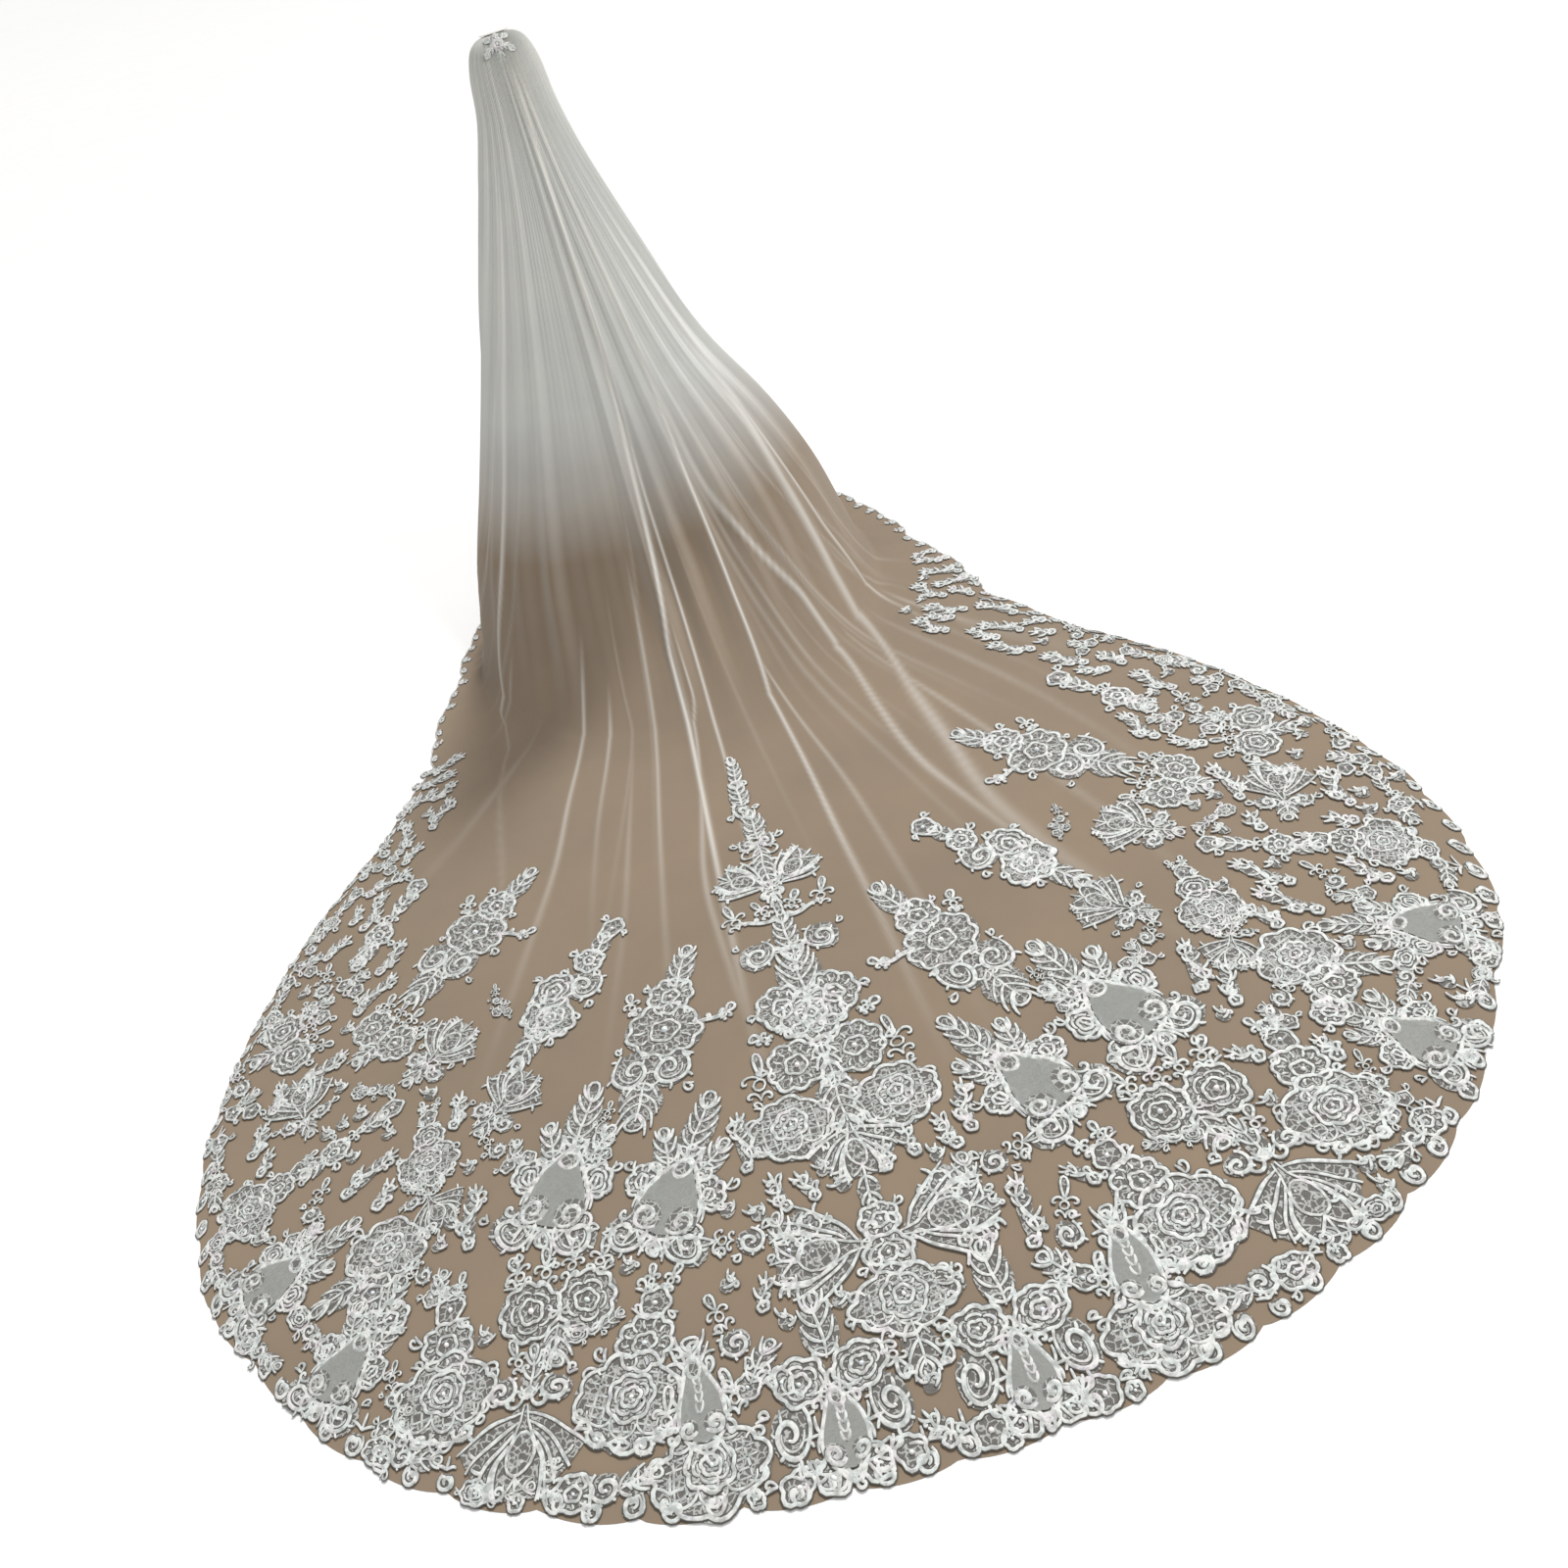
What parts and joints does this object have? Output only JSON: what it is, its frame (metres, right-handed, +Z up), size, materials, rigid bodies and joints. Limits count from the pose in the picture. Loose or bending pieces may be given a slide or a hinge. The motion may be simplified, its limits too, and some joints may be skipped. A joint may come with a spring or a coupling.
{
  "type": "cathedral veil",
  "caption": "Sheer cathedral wedding veil that falls from a crown comb in soft folds to a long round train with corded lace appliques.",
  "frame": {"origin": "the veil's seat on top of the head, under the spine of its comb", "axes": "+Z up, +Y the way the wearer faces, -Y along the train, +X the wearer's right"},
  "size_m": [2.8665, 3.453, 1.6571],
  "materials": {
    "net": "sheer soft tulle",
    "lace": "corded ivory lace with small sequins",
    "band": "ivory tape",
    "comb": "polished wire comb"
  },
  "bodies": {
    "root": {"crown_band": "band", "crown_sprig": "lace", "edge_lace_left": "lace", "edge_lace_right": "lace", "hair_comb": "comb", "lace_centre_bell": "lace", "lace_centre_medallion": "lace", "lace_centre_spear": "lace", "lace_centre_tail": "lace", "lace_edge_chain_left": "lace", "lace_edge_chain_right": "lace", "lace_edge_cluster_left": "lace", "lace_edge_cluster_right": "lace", "lace_hem_arch_left": "lace", "lace_hem_arch_right": "lace", "lace_hem_bottle_left": "lace", "lace_hem_bottle_right": "lace", "lace_hem_cartouche_left": "lace", "lace_hem_cartouche_right": "lace", "lace_hem_spray_left": "lace", "lace_hem_spray_right": "lace", "lace_hem_sprig_left": "lace", "lace_hem_sprig_right": "lace", "lace_inner_cartouche_left": "lace", "lace_inner_cartouche_right": "lace", "lace_inner_vase_left": "lace", "lace_inner_vase_right": "lace", "lace_middle_bouquet_left": "lace", "lace_middle_bouquet_right": "lace", "lace_middle_wing_left": "lace", "lace_middle_wing_right": "lace", "lace_outer_cartouche_left": "lace", "lace_outer_cartouche_right": "lace", "lace_outer_hem_sprig_left": "lace", "lace_outer_hem_sprig_right": "lace", "lace_outer_vase_left": "lace", "lace_outer_vase_right": "lace", "lace_palmette_left": "lace", "lace_palmette_right": "lace", "lace_rosette_cluster_left": "lace", "lace_rosette_cluster_right": "lace", "lace_round_vase_left": "lace", "lace_round_vase_right": "lace", "lace_side_cartouche_left": "lace", "lace_side_cartouche_right": "lace", "lace_side_shield_left": "lace", "lace_side_shield_right": "lace", "lace_side_vase_left": "lace", "lace_side_vase_right": "lace", "lace_side_wing_left": "lace", "lace_side_wing_right": "lace", "lace_slim_bouquet_left": "lace", "lace_slim_bouquet_right": "lace", "lace_star_spray_left": "lace", "lace_star_spray_right": "lace", "lace_upper_bouquet_left": "lace", "lace_upper_bouquet_right": "lace", "lace_upper_wing_left": "lace", "lace_upper_wing_right": "lace", "tulle_veil": "net"}
  },
  "joints": []
}
